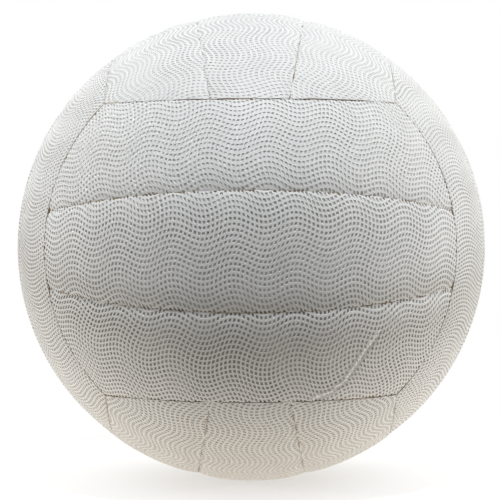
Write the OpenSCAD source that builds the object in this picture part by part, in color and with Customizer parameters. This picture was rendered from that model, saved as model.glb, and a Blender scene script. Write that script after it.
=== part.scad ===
// A glued volleyball: eighteen grained panels on a rubber-covered, thread-wound bladder,
// with a valve at the back whose core pulls out.
// Millimetres. The origin is the centre of the ball, +Z is up, the front face looks to -Y
// and the valve looks to +Y.

/* [Ball] */
// Outer diameter, which makes the ball about 66 cm round
ball_d = 210; // [180:1:240]

/* [Cover panels] */
// Thickness of a panel, grained skin and cushioned backing together
panel_t = 2; // [1.4:0.1:3.5]
// Width of a face's middle strip, halfway along it
mid_strip_w = 48; // [40:0.5:60]
// Width of a face's middle strip at its two ends
mid_strip_end_w = 32; // [24:0.5:38]
// Width of the open seam between two panels
seam_gap = 0.5; // [0.3:0.05:1]
// Width over which the edge of a panel rolls down to the seam
edge_roll_w = 2.4; // [1:0.1:4]
// Depth that the edge of a panel has rolled down at the seam
edge_roll_h = 0.6; // [0.2:0.05:1]

/* [Layers under the cover] */
// Thickness of the rubber layer that the panels are glued to
cover_rubber_t = 0.9; // [0.5:0.05:2]
// Thickness of the thread winding
winding_t = 0.7; // [0.4:0.05:1.5]
// Wall of the air bladder
bladder_t = 0.8; // [0.5:0.05:2]
// Thickness of the cement between two layers
cement_t = 0.3; // [0.2:0.05:0.6]

/* [Valve housing] */
// Length of the valve housing, from its face at the surface to its inner end
housing_len = 22; // [16:0.5:30]
// Depth of the housing's face below the surface of the ball
face_recess = 0.4; // [0.2:0.1:1]
// Wall of the housing round the head of the core
neck_wall = 1.3; // [0.8:0.1:2.5]
// Bore of the housing, which takes the stem of the core
housing_bore_d = 5; // [4:0.1:7]
// How far the flange spreads beyond the neck, on the inside of the bladder
flange_w = 13; // [8:0.5:20]
// Thickness of the flange
flange_t = 1.2; // [0.8:0.1:2.5]
// Thickness of the lip that closes the inner end under the core
end_lip_t = 1.5; // [1:0.1:3]
// How far the lip reaches in under the stem
end_lip_w = 1.2; // [0.6:0.1:1.6]
// Gap round the neck where it passes through the layers
neck_clear = 0.3; // [0.2:0.05:0.6]

/* [Valve core] */
// Thickness of the core's head
head_t = 1.5; // [1:0.1:3]
// How far the head reaches out over the bore
head_w = 0.8; // [0.5:0.1:1.5]
// Gap round the core in its housing
core_clear = 0.15; // [0.1:0.05:0.3]
// Gap under the head and under the end of the stem
seat_clear = 0.1; // [0.05:0.05:0.3]
// Diameter of the needle's channel
needle_d = 2.1; // [1.6:0.1:2.6]
// Depth of the funnel that leads the needle in
funnel_h = 0.6; // [0.3:0.1:0.9]
// Length of the stem that the slit goes through, under the channel
slit_len = 4; // [2:0.5:6]
// Width of the slit when it is open
slit_w = 0.3; // [0.2:0.05:0.5]
// How far the slit runs past the channel on each side
slit_side = 0.3; // [0.1:0.05:0.5]

/* [Hidden] */
$fn = 128;
cover_colour = "#e6e3dd";
cover_rubber_colour = "#8d7257";
winding_colour = "#d8cda6";
bladder_colour = "#2b2a2c";
housing_colour = "#3a3836";
core_colour = "#57534e";

ball_r = ball_d / 2;
degrees_per_radian = 180 / PI;

// Radii of the layers, from the cover inwards
panel_in_r = ball_r - panel_t;
cover_rubber_r = panel_in_r - cement_t;
cover_rubber_in_r = cover_rubber_r - cover_rubber_t;
winding_r = cover_rubber_in_r - cement_t;
winding_in_r = winding_r - winding_t;
bladder_r = winding_in_r - cement_t;
bladder_in_r = bladder_r - bladder_t;
flange_r = bladder_in_r - cement_t;

// A face is drawn looking to +X with its strips upright. Its sides lie in the planes
// y = +-face_half and its ends in the plane x = face_half, so six faces close the ball.
face_half = ball_r / sqrt(3);
// The seam beside the middle strip lies in the plane y = seam_slope * x + seam_shift.
mid_x = sqrt(pow(ball_r, 2) - pow(mid_strip_w / 2, 2));
seam_slope = (mid_strip_w - mid_strip_end_w) / 2 / (mid_x - face_half);
seam_shift = mid_strip_end_w / 2 - seam_slope * face_half;
seam_tilt = atan(seam_slope);
seam_reach = seam_shift * cos(seam_tilt);

// Valve, measured along its axis from the centre of the ball
neck_d = housing_bore_d + 2 * (head_w + neck_wall);
neck_hole_d = neck_d + 2 * neck_clear;
face_h = ball_r - face_recess;
head_seat_h = face_h - head_t - seat_clear;
housing_end_h = face_h - housing_len;
end_lip_h = housing_end_h + end_lip_t;
stem_d = housing_bore_d - 2 * core_clear;
stem_end_h = end_lip_h + seat_clear;
channel_end_h = stem_end_h + slit_len;

// An edge is [angle of its outward normal from +X, distance of its plane from the centre].
// place is 1, 0 or -1: the strip on the +Y side, the middle strip or the one on the -Y side.
END_EDGE = [180, -face_half];
function strip_edges(place) = place == 0
    ? [[90 + seam_tilt, seam_reach], [-90 - seam_tilt, seam_reach], END_EDGE]
    : [[place * (seam_tilt - 90), -seam_reach], [place * 90, face_half], END_EDGE];

// Everything past one edge of a panel, with the slope that rolls the edge down to the seam.
module past_edge(edge)
{
    cut_h = edge[1] - seam_gap / 2;
    edge_angle = acos(cut_h / ball_r);
    crest_angle = edge_angle + edge_roll_w / ball_r * degrees_per_radian;
    foot = [ball_r * sin(edge_angle) - edge_roll_h / sin(edge_angle), cut_h];
    crest = ball_r * [sin(crest_angle), cos(crest_angle)];
    tip = 2 * crest - foot;
    rotate([0, 90, edge[0]])
        rotate_extrude()
            polygon([
                [0, cut_h], foot, tip,
                [ball_d, tip[1]], [ball_d, ball_d], [0, ball_d]
            ]);
}

// One strip of the face that looks to +X.
module strip(place)
{
    difference() {
        sphere(d = ball_d);
        sphere(r = panel_in_r);
        for (edge = strip_edges(place)) past_edge(edge);
    }
}

// Turns the face that looks to +X to another side, with its +Y strip to the side in brackets.
module on_face(side)
{
    if (side == "right") children();                                                // rear
    if (side == "left") rotate([0, 0, 180]) children();                             // front
    if (side == "top") rotate(a = 240, v = [1, 1, 1]) children();                   // right
    if (side == "bottom") rotate([0, 180, 0]) rotate(a = 240, v = [1, 1, 1]) children(); // left
    if (side == "back") rotate(a = 120, v = [1, 1, 1]) children();                  // upper
    if (side == "front") rotate([0, 0, 180]) rotate(a = 120, v = [1, 1, 1]) children();  // upper
}

module cover_panel(side, place)
{
    color(cover_colour) on_face(side) strip(place);
}

// Turns what is drawn along +Z to the valve's axis.
module on_valve()
{
    rotate([-90, 0, 0]) children();
}

module neck_hole()
{
    on_valve() cylinder(d = neck_hole_d, h = ball_d);
}

module valve_panel()
{
    color(cover_colour)
        difference() {
            cover_panel("back", 0);
            neck_hole();
        }
}

// A closed layer of the ball with the hole that the valve's neck passes through.
module layer(outer_r, inner_r)
{
    difference() {
        sphere(r = outer_r);
        sphere(r = inner_r);
        neck_hole();
    }
}

module cover_rubber()
{
    color(cover_rubber_colour) layer(cover_rubber_r, cover_rubber_in_r);
}

module winding()
{
    color(winding_colour) layer(winding_r, winding_in_r);
}

module bladder()
{
    color(bladder_colour) layer(bladder_r, bladder_in_r);
}

module valve_flange()
{
    intersection() {
        difference() {
            sphere(r = flange_r);
            sphere(r = flange_r - flange_t);
        }
        cylinder(d = neck_d + 2 * flange_w, h = ball_d);
    }
}

module valve_housing()
{
    color(housing_colour)
        on_valve()
            difference() {
                union() {
                    valve_flange();
                    translate([0, 0, housing_end_h]) cylinder(d = neck_d, h = housing_len);
                }
                translate([0, 0, end_lip_h]) cylinder(d = housing_bore_d, h = housing_len);
                translate([0, 0, head_seat_h]) cylinder(d = housing_bore_d + 2 * head_w, h = housing_len);
                cylinder(d = housing_bore_d - 2 * end_lip_w, h = ball_d);
            }
}

module valve_core()
{
    stem_len = head_seat_h + seat_clear - stem_end_h;
    slit_span = needle_d + 2 * slit_side;
    color(core_colour)
        on_valve()
            difference() {
                union() {
                    translate([0, 0, stem_end_h]) cylinder(d = stem_d, h = stem_len + head_t / 2);
                    translate([0, 0, face_h - head_t]) cylinder(d = stem_d + 2 * head_w, h = head_t);
                }
                translate([0, 0, channel_end_h]) cylinder(d = needle_d, h = ball_d);
                translate([0, 0, face_h - funnel_h])
                    cylinder(d1 = needle_d, d2 = needle_d + 2 * funnel_h, h = funnel_h);
                translate([-slit_span / 2, -slit_w / 2, housing_end_h])
                    cube([slit_span, slit_w, channel_end_h - housing_end_h + slit_w]);
            }
}

cover_panel("front", 1);  // front_upper_panel
cover_panel("front", 0);  // front_middle_panel
cover_panel("front", -1);  // front_lower_panel
cover_panel("back", 1);  // back_upper_panel
valve_panel();  // back_middle_panel
cover_panel("back", -1);  // back_lower_panel
cover_panel("left", 1);  // left_front_panel
cover_panel("left", 0);  // left_middle_panel
cover_panel("left", -1);  // left_rear_panel
cover_panel("right", -1);  // right_front_panel
cover_panel("right", 0);  // right_middle_panel
cover_panel("right", 1);  // right_rear_panel
cover_panel("top", -1);  // top_left_panel
cover_panel("top", 0);  // top_middle_panel
cover_panel("top", 1);  // top_right_panel
cover_panel("bottom", 1);  // bottom_left_panel
cover_panel("bottom", 0);  // bottom_middle_panel
cover_panel("bottom", -1);  // bottom_right_panel
cover_rubber();
winding();
bladder();
valve_housing();
valve_core();
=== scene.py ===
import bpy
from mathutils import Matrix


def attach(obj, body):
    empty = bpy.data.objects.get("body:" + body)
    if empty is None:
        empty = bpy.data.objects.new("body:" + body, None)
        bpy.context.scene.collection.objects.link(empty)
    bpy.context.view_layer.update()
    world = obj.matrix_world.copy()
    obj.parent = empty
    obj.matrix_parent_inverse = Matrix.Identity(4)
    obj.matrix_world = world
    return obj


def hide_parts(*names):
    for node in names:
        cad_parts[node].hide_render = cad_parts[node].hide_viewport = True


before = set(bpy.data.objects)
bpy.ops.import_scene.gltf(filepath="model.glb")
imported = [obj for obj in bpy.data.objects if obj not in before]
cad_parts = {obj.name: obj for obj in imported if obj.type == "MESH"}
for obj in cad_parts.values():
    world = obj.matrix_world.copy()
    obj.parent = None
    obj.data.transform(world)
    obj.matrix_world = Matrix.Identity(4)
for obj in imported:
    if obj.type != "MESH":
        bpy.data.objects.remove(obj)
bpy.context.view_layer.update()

import logging
import math
from dataclasses import dataclass, field
from enum import Enum
from functools import partial, reduce

import bmesh
import bpy
import numpy as np
from mathutils import Vector
from mathutils.geometry import delaunay_2d_cdt

LOG = logging.getLogger("volleyball")
MM = 0.001
BAKE_MAP = "OFBake"
INSIDE_ONLY = 1

Colour = tuple[float, float, float, float]
Links = list[tuple[int, int]]
Socket = bpy.types.NodeSocket
Sockets = bpy.types.bpy_prop_collection
Material = bpy.types.Material
Mesh = bpy.types.Mesh
BMesh = bmesh.types.BMesh
Ring = list[bmesh.types.BMVert]

SOCKET_KINDS = {
    float: "NodeSocketFloat",
    int: "NodeSocketInt",
    Vector: "NodeSocketVector",
    Material: "NodeSocketMaterial",
    Mesh: "NodeSocketGeometry",
    Colour: "NodeSocketColor",
}


class Side(Enum):
    """The six faces of the ball, as directions: outwards, across its strips, along its strips."""

    FRONT = ((0, -1, 0), (0, 0, 1), (-1, 0, 0))
    BACK = ((0, 1, 0), (0, 0, 1), (1, 0, 0))
    LEFT = ((-1, 0, 0), (0, -1, 0), (0, 0, 1))
    RIGHT = ((1, 0, 0), (0, 1, 0), (0, 0, 1))
    TOP = ((0, 0, 1), (1, 0, 0), (0, 1, 0))
    BOTTOM = ((0, 0, -1), (-1, 0, 0), (0, 1, 0))

    @property
    def out(self) -> Vector:
        """Direction out of the ball through the middle of the face."""
        return Vector(self.value[0])

    @property
    def across(self) -> Vector:
        """Direction across the strips of the face."""
        return Vector(self.value[1])

    @property
    def along(self) -> Vector:
        """Direction along the strips of the face."""
        return Vector(self.value[2])


class Place(Enum):
    """Where a strip lies in its face, counted across it."""

    PLUS = 1
    MIDDLE = 0
    MINUS = -1


class PanelPart(Enum):
    """The parts of a panel's surface; each rim's wall has a number of its own from WALL on."""

    UNDERSIDE = -1
    SKIN = 0
    WALL = 1


class Body(Enum):
    """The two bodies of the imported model."""

    BALL = "ball"
    CORE = "valve_core"


def new_object(name: str, data: bpy.types.ID) -> bpy.types.Object:
    """Makes an object and puts it into the scene.

    Args:
        name: The object's name.
        data: Its mesh, light or camera.

    Returns:
        The object.
    """
    made = bpy.data.objects.new(name, data)
    bpy.context.collection.objects.link(made)
    return made


def ring_links(count: int, first: int = 0) -> Links:
    """Gives the edges round a ring of corners whose numbers start at first."""
    return [(first + spot, first + (spot + 1) % count) for spot in range(count)]


def triangles(verts: Ring, points: list[Vector], links: Links, tolerance: float) -> list[Ring]:
    """Fills a flat outline with triangles.

    Args:
        verts: The corners in space.
        points: Their places in the plane.
        links: The edges that the triangles keep to, by the numbers of their corners.
        tolerance: The distance at which two corners count as one.

    Returns:
        The three corners of each triangle.
    """
    made = delaunay_2d_cdt(points, links, [], INSIDE_ONLY, tolerance)
    source = [ids[0] for ids in made[3]]
    return [[verts[source[one]] for one in corners] for corners in made[2]]


def open_sockets(tree: bpy.types.NodeTree, way: str, kinds: dict[str, type]) -> dict[str, str]:
    """Gives a node tree its named inputs or outputs.

    Args:
        tree: The tree.
        way: INPUT or OUTPUT.
        kinds: The type of each socket, by name.

    Returns:
        The identifier of each socket, by name.
    """
    made = {}
    for name, kind in kinds.items():
        item = tree.interface.new_socket(name=name, in_out=way, socket_type=SOCKET_KINDS[kind])
        made[name] = item.identifier
    return made


@dataclass
class NodeBoard:
    """Puts nodes into one tree and joins them."""

    tree: bpy.types.NodeTree

    @classmethod
    def empty(cls, owner: bpy.types.ID) -> "NodeBoard":
        """Starts on an empty node tree.

        Args:
            owner: The material or world that the tree belongs to.

        Returns:
            The tree's board.
        """
        owner.use_nodes = True
        owner.node_tree.nodes.clear()
        return cls(owner.node_tree)

    @staticmethod
    def socket(sockets: Sockets, key: str | int) -> Socket:
        """Finds a socket.

        Args:
            sockets: The inputs or outputs of a node.
            key: The name of a socket in use, or its number.

        Returns:
            The socket.
        """
        if isinstance(key, int):
            return sockets[key]
        return next(one for one in sockets if one.name == key and one.enabled)

    def feed(self, target: Socket, value: object) -> None:
        """Joins a socket to an input, or sets the input.

        Args:
            target: The input.
            value: A socket, a node whose first output in use is meant, or a plain value.
        """
        if isinstance(value, bpy.types.Node):
            value = next(one for one in value.outputs if one.enabled)
        if isinstance(value, Socket):
            self.tree.links.new(value, target)
        else:
            target.default_value = value

    def add(self, kind: str, values: dict | None = None, **settings: object) -> bpy.types.Node:
        """Adds a node.

        Args:
            kind: The node's type.
            values: What goes into its inputs, by name or number.
            **settings: The node's own settings.

        Returns:
            The new node.
        """
        node = self.tree.nodes.new(kind)
        for name, setting in settings.items():
            setattr(node, name, setting)
        for key, value in (values or {}).items():
            self.feed(self.socket(node.inputs, key), value)
        return node

    def math(self, operation: str, *values: object, clamp: bool = False) -> Socket:
        """Adds a sum on numbers and returns its result."""
        inputs = dict(enumerate(values))
        return self.add("ShaderNodeMath", inputs, operation=operation, use_clamp=clamp).outputs[0]

    def product(self, *values: object) -> Socket:
        """Multiplies numbers in their order and returns the product."""
        return reduce(partial(self.math, "MULTIPLY"), values)

    def rest(self, value: object) -> Socket:
        """Takes a number from 1 and returns what is left."""
        return self.math("SUBTRACT", 1.0, value)

    def vector(self, operation: str, *values: object) -> Socket:
        """Adds a sum on vectors and returns its vector."""
        return self.add("ShaderNodeVectorMath", dict(enumerate(values)), operation=operation).outputs[0]

    def scaled(self, value: object, factor: object) -> Socket:
        """Multiplies a vector by a number and returns the vector."""
        values = {0: value, "Scale": factor}
        return self.add("ShaderNodeVectorMath", values, operation="SCALE").outputs[0]

    def measure(self, operation: str, *values: object) -> Socket:
        """Adds a sum on vectors whose result is a number, such as DOT_PRODUCT."""
        node = self.add("ShaderNodeVectorMath", dict(enumerate(values)), operation=operation)
        return node.outputs["Value"]

    def split(self, value: object) -> Sockets:
        """Takes a vector apart and returns its X, Y and Z."""
        return self.add("ShaderNodeSeparateXYZ", {0: value}).outputs

    def ramp(
        self, value: object, start: object, end: object, low: object = 0.0, high: object = 1.0
    ) -> Socket:
        """Maps a number by a smooth step, from low at the start to high at the end."""
        values = {"Value": value, "From Min": start, "From Max": end, "To Min": low, "To Max": high}
        return self.add("ShaderNodeMapRange", values, interpolation_type="SMOOTHSTEP").outputs[0]

    def blend(self, share: object, first: object, second: object) -> Socket:
        """Mixes a share of a second colour into a first one."""
        values = {"Factor": share, "A": first, "B": second}
        return self.socket(self.add("ShaderNodeMix", values, data_type="RGBA").outputs, "Result")

    def noise(self, place: object, scale: object, detail: float) -> Socket:
        """Adds a noise about 0.5 at a place and returns its number."""
        values = {"Vector": place, "Scale": scale, "Detail": detail}
        return self.add("ShaderNodeTexNoise", values).outputs[0]


class GeometryTree:
    """A Geometry Nodes tree with named inputs, which is run once on an object."""

    def __init__(self, name: str, inputs: dict[str, type]) -> None:
        """Makes an empty tree.

        Args:
            name: The tree's name.
            inputs: The type of each input, by name.
        """
        self.tree = bpy.data.node_groups.new(name, "GeometryNodeTree")
        self.board = NodeBoard(self.tree)
        self.sockets = open_sockets(self.tree, "INPUT", {"Geometry": Mesh, **inputs})
        open_sockets(self.tree, "OUTPUT", {"Geometry": Mesh})
        self.given = self.board.add("NodeGroupInput").outputs

    def store(self, shape: object, name: str, value: object, kind: str) -> bpy.types.Node:
        """Stores a value at every point of a shape, under a name."""
        values = {"Geometry": shape, "Name": name, "Value": value}
        return self.board.add("GeometryNodeStoreNamedAttribute", values, data_type=kind, domain="POINT")

    def read(self, name: str, kind: str) -> Socket:
        """Reads the value that is stored under a name."""
        node = self.board.add("GeometryNodeInputNamedAttribute", {"Name": name}, data_type=kind)
        return self.board.socket(node.outputs, "Attribute")

    def shifted(self, place: Socket, seed_step: float) -> Socket:
        """Moves a place along X by the tree's seed, so that each seed meets another noise."""
        jump = self.board.product(self.given["Seed"], seed_step)
        return self.board.vector("ADD", place, self.board.add("ShaderNodeCombineXYZ", {"X": jump}))

    def close(self, shape: object, dress: list[tuple[object, object]]) -> None:
        """Ends the tree in Realize Instances and Set Material.

        Args:
            shape: The geometry that the tree has made.
            dress: Pairs of a selection and the material that goes there.
        """
        shape = self.board.add("GeometryNodeRealizeInstances", {"Geometry": shape})
        for selection, material in dress:
            values = {"Geometry": shape, "Selection": selection, "Material": material}
            shape = self.board.add("GeometryNodeSetMaterial", values)
        self.board.add("NodeGroupOutput", {"Geometry": shape})

    def run(self, mesh: Mesh, values: dict[str, object]) -> Mesh:
        """Runs the tree on a mesh.

        Args:
            mesh: The mesh that goes in, which is removed.
            values: The value of each input, by name.

        Returns:
            The plain mesh that comes out.
        """
        carrier = new_object(self.tree.name, mesh)
        modifier = carrier.modifiers.new(self.tree.name, "NODES")
        modifier.node_group = self.tree
        for key, value in values.items():
            modifier[self.sockets[key]] = tuple(value) if isinstance(value, Vector) else value
        depsgraph = bpy.context.evaluated_depsgraph_get()
        made = bpy.data.meshes.new_from_object(
            carrier.evaluated_get(depsgraph), preserve_all_data_layers=True, depsgraph=depsgraph
        )
        carrier.modifiers.remove(modifier)
        bpy.data.objects.remove(carrier)
        bpy.data.meshes.remove(mesh)
        if made.materials[0] is None:
            made.materials.pop(index=0)
        return made


class BlotchGroup:
    """The shader group that breaks up a colour with broad and fine blotches."""

    BROAD_SHARE = 0.65
    BROAD_DETAIL = 3.0
    FINE_SHARE = 0.35
    FINE_DETAIL = 2.0
    NOISE_MIDDLE = 0.5
    _tree: bpy.types.NodeTree | None = None

    @classmethod
    def tree(cls) -> bpy.types.NodeTree:
        """Builds the group at its first use.

        Returns:
            The group's node tree.
        """
        if cls._tree is None:
            cls._tree = bpy.data.node_groups.new("blotches", "ShaderNodeTree")
            inputs = {"Vector": Vector, "Broad Scale": float, "Fine Scale": float}
            inputs |= {"First": Colour, "Second": Colour, "Contrast": float}
            open_sockets(cls._tree, "INPUT", inputs)
            open_sockets(cls._tree, "OUTPUT", {"Color": Colour, "Mask": float})
            board = NodeBoard(cls._tree)
            given = board.add("NodeGroupInput").outputs
            broad = board.noise(given["Vector"], given["Broad Scale"], cls.BROAD_DETAIL)
            fine = board.noise(given["Vector"], given["Fine Scale"], cls.FINE_DETAIL)
            broad, fine = board.product(broad, cls.BROAD_SHARE), board.product(fine, cls.FINE_SHARE)
            off = board.math("SUBTRACT", board.math("ADD", broad, fine), cls.NOISE_MIDDLE)
            spread = board.product(off, given["Contrast"])
            mask = board.math("ADD", spread, cls.NOISE_MIDDLE, clamp=True)
            colour = board.blend(mask, given["First"], given["Second"])
            board.add("NodeGroupOutput", {"Color": colour, "Mask": mask})
        return cls._tree


@dataclass(frozen=True)
class Finish:
    """What every finish has: two colours that blotch into each other, a gloss and a fine tooth."""

    name: str
    first: Colour
    second: Colour
    broad_scale: float
    fine_scale: float
    contrast: float
    roughness: float
    roughness_spread: float
    tooth_scale: float
    tooth_depth: float
    specular: float

    TOOTH_DETAIL = 3.0

    def start(self) -> tuple[Material, NodeBoard, Socket]:
        """Starts an empty material.

        Returns:
            The material, its board and its Object coordinates.
        """
        material = bpy.data.materials.new(self.name)
        board = NodeBoard.empty(material)
        return material, board, board.add("ShaderNodeTexCoord").outputs["Object"]

    def blotches(self, board: NodeBoard, place: Socket) -> Sockets:
        """Places the blotch group with this finish's values.

        Args:
            board: The material's board.
            place: Its Object coordinates.

        Returns:
            The group's outputs.
        """
        values = {"Vector": place, "Broad Scale": self.broad_scale, "Fine Scale": self.fine_scale}
        values |= {"First": self.first, "Second": self.second, "Contrast": self.contrast}
        return board.add("ShaderNodeGroup", values, node_tree=BlotchGroup.tree()).outputs

    def shade(self, board: NodeBoard, place: Socket, colour: Socket, mask: Socket) -> None:
        """Ends a material in its shader.

        Args:
            board: The material's board.
            place: Its Object coordinates.
            colour: Its colour.
            mask: What its gloss varies with.
        """
        low = self.roughness - self.roughness_spread
        high = self.roughness + self.roughness_spread
        grit = board.noise(place, self.tooth_scale, self.TOOTH_DETAIL)
        tooth = board.product(grit, self.tooth_depth)
        values = {
            "Base Color": colour,
            "Roughness": board.ramp(mask, 0.0, 1.0, low, high),
            "Specular IOR Level": self.specular,
            "Normal": board.add("ShaderNodeBump", {"Height": tooth, "Distance": 1.0, "Strength": 1.0}),
        }
        shader = board.add("ShaderNodeBsdfPrincipled", values)
        board.add("ShaderNodeOutputMaterial", {"Surface": shader.outputs["BSDF"]})

    def material(self) -> Material:
        """Makes the material.

        Returns:
            The finished material.
        """
        material, board, place = self.start()
        spots = self.blotches(board, place)
        self.shade(board, place, spots["Color"], spots["Mask"])
        return material


@dataclass(frozen=True)
class Grain:
    """The pattern pressed into the sheet that the panels are cut from, in metres."""

    pitch: float = 1.72 * MM
    row_pitch: float = 2.2 * MM
    row_wave: float = 1.9 * MM
    row_wave_len: float = 24.4 * MM
    column_wave: float = 2.9 * MM
    column_wave_len: float = 48 * MM
    pit_length: float = 1.04 * MM
    pit_width: float = 1.4 * MM
    pit_floor: float = 0.86
    pit_corner: float = 0.42
    pit_depth: float = 0.42 * MM
    depth_spread: float = 0.25
    lines: int = 4


GRAIN = Grain()


@dataclass(frozen=True)
class GrainedSkin(Finish):
    """White synthetic leather: painted shade in its pits and glue stains beside its seams."""

    pit_shade_colour: Colour = (0.1, 0.088, 0.072, 1.0)
    pit_floor_shade: float = 0.8
    pit_edge: tuple[float, float] = (0.95, 0.7)
    floor_edge: tuple[float, float] = (0.25, 0.62)
    patch_scale: float = 60.0
    patch_detail: float = 2.0
    patch_step: tuple[float, float, float] = (0.35, 0.65, 0.6)
    stain: Colour = (0.38, 0.27, 0.15, 1.0)
    stain_reach: float = 0.8
    stain_share: float = 0.5
    glue_scale: float = 75.0
    glue_detail: float = 4.0
    glue_step: tuple[float, float] = (0.5, 0.68)

    def material(self) -> Material:
        """Makes the material, which reads the panel's cell and edge attributes.

        Returns:
            The finished material.
        """
        material, board, place = self.start()
        spots = self.blotches(board, place)
        cell = board.add("ShaderNodeAttribute", attribute_name="cell").outputs["Vector"]
        edge = board.add("ShaderNodeAttribute", attribute_name="edge").outputs["Fac"]
        halves = 2 * GRAIN.pitch / GRAIN.pit_length, 2 * GRAIN.row_pitch / GRAIN.pit_width, 0.0
        spot = board.vector("SUBTRACT", board.vector("FRACTION", cell), (0.5, 0.5, 0.0))
        spot = board.vector("MULTIPLY", spot, halves)
        far = board.math("SQRT", board.measure("LENGTH", board.vector("MULTIPLY", spot, spot)))
        # Painted shade: the pits' walls and floors are darkened, by the panel's share and in patches.
        floor = board.ramp(far, *self.floor_edge, self.pit_floor_shade, 1.0)
        wall = board.product(board.ramp(far, *self.pit_edge), floor)
        patchy = board.ramp(board.noise(place, self.patch_scale, self.patch_detail), *self.patch_step)
        pit_shade_mask = board.product(wall, board.split(cell)["Z"], patchy)
        colour = board.blend(pit_shade_mask, spots["Color"], self.pit_shade_colour)
        reach = board.ramp(edge, 0.0, self.stain_reach, 1.0, 0.0)
        glue = board.ramp(board.noise(place, self.glue_scale, self.glue_detail), *self.glue_step)
        soiled = board.product(reach, glue, self.stain_share)
        self.shade(board, place, board.blend(soiled, colour, self.stain), spots["Mask"])
        return material


SKIN = GrainedSkin(
    "grained_skin", (0.88, 0.878, 0.87, 1.0), (0.83, 0.827, 0.816, 1.0),
    broad_scale=9.0, fine_scale=160.0, contrast=1.6, roughness=0.52, roughness_spread=0.06,
    tooth_scale=2600.0, tooth_depth=0.00003, specular=0.25,
)
BACKING = Finish(
    "skived_backing", (0.17, 0.12, 0.075, 1.0), (0.42, 0.33, 0.22, 1.0),
    broad_scale=140.0, fine_scale=900.0, contrast=2.6, roughness=0.75, roughness_spread=0.1,
    tooth_scale=3000.0, tooth_depth=0.0001, specular=0.3,
)
CEMENT = Finish(
    "seam_cement", (0.075, 0.047, 0.027, 1.0), (0.4, 0.3, 0.19, 1.0),
    broad_scale=90.0, fine_scale=700.0, contrast=3.0, roughness=0.55, roughness_spread=0.15,
    tooth_scale=2500.0, tooth_depth=0.0001, specular=0.4,
)
BROWN_RUBBER = Finish(
    "brown_rubber", (0.2, 0.12, 0.065, 1.0), (0.33, 0.22, 0.13, 1.0),
    broad_scale=40.0, fine_scale=600.0, contrast=2.2, roughness=0.7, roughness_spread=0.08,
    tooth_scale=1800.0, tooth_depth=0.0001, specular=0.35,
)
THREAD = Finish(
    "winding_thread", (0.6, 0.52, 0.32, 1.0), (0.76, 0.69, 0.47, 1.0),
    broad_scale=60.0, fine_scale=900.0, contrast=2.4, roughness=0.65, roughness_spread=0.1,
    tooth_scale=4000.0, tooth_depth=0.0001, specular=0.35,
)
BUTYL = Finish(
    "butyl_rubber", (0.022, 0.022, 0.023, 1.0), (0.045, 0.043, 0.041, 1.0),
    broad_scale=25.0, fine_scale=400.0, contrast=2.0, roughness=0.45, roughness_spread=0.1,
    tooth_scale=1500.0, tooth_depth=0.00005, specular=0.45,
)
HOUSING_RUBBER = Finish(
    "valve_housing_rubber", (0.04, 0.036, 0.033, 1.0), (0.075, 0.068, 0.06, 1.0),
    broad_scale=180.0, fine_scale=1500.0, contrast=2.2, roughness=0.55, roughness_spread=0.1,
    tooth_scale=5000.0, tooth_depth=0.00004, specular=0.4,
)
CORE_RUBBER = Finish(
    "valve_core_rubber", (0.085, 0.076, 0.068, 1.0), (0.14, 0.125, 0.11, 1.0),
    broad_scale=200.0, fine_scale=1600.0, contrast=2.2, roughness=0.5, roughness_spread=0.1,
    tooth_scale=5000.0, tooth_depth=0.00004, specular=0.45,
)


@dataclass(frozen=True)
class Edge:
    """One edge of a panel: the seam's plane, with its normal out of the panel."""

    normal: Vector
    distance: float
    in_face: bool = False
    tight: bool = False


@dataclass(frozen=True)
class BallShape:
    """The sizes of the ball's cover, in metres."""

    radius: float = 105 * MM
    panel_t: float = 2 * MM
    mid_strip_w: float = 48 * MM
    mid_strip_end_w: float = 32 * MM
    seam_gap: float = 0.5 * MM
    valve_hole_r: float = 4.9 * MM

    @property
    def inner_radius(self) -> float:
        """Radius of the underside of the panels."""
        return self.radius - self.panel_t

    @property
    def mid_radius(self) -> float:
        """Radius halfway through the panels."""
        return self.radius - self.panel_t / 2

    @property
    def face_half(self) -> float:
        """Half the width of a face, measured straight across."""
        return self.radius / math.sqrt(3)

    @property
    def seam_slope(self) -> float:
        """Slope of the plane of a strip's seam."""
        middle = math.sqrt(self.radius**2 - (self.mid_strip_w / 2) ** 2)
        return (self.mid_strip_w - self.mid_strip_end_w) / 2 / (middle - self.face_half)

    @property
    def seam_tilt(self) -> float:
        """Angle of the plane of a strip's seam."""
        return math.atan(self.seam_slope)

    @property
    def seam_reach(self) -> float:
        """Distance of the plane of a strip's seam from the centre."""
        shift = self.mid_strip_end_w / 2 - self.seam_slope * self.face_half
        return shift * math.cos(self.seam_tilt)

    def strip_edge(self, side: Side, place: int) -> Edge:
        """Gives the seam at place 1 or -1 beside a face's middle strip, its normal away from it."""
        tilted = math.cos(self.seam_tilt) * place * side.across - math.sin(self.seam_tilt) * side.out
        return Edge(tilted, self.seam_reach, in_face=True, tight=True)

    def edges(self, side: Side, place: Place) -> list[Edge]:
        """Gives the three seams round a panel.

        Args:
            side: The face it lies in.
            place: Its place in the face.

        Returns:
            The seams' planes, with normals out of the panel.
        """
        upright, level = side in (Side.LEFT, Side.RIGHT), side in (Side.TOP, Side.BOTTOM)
        ends = Edge(-side.out, -self.face_half, tight=upright)
        if place is Place.MIDDLE:
            return [self.strip_edge(side, 1), self.strip_edge(side, -1), ends]
        inner = self.strip_edge(side, place.value)
        inner = Edge(-inner.normal, -inner.distance, in_face=True, tight=True)
        return [inner, Edge(place.value * side.across, self.face_half, tight=level), ends]

    def strip_angle(self, place: Place) -> float:
        """Angle from the middle of a face to the middle line of a strip."""
        seam = math.asin(self.mid_strip_w / 2 / self.radius)
        return place.value * (seam + math.asin(self.face_half / self.radius)) / 2


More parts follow.
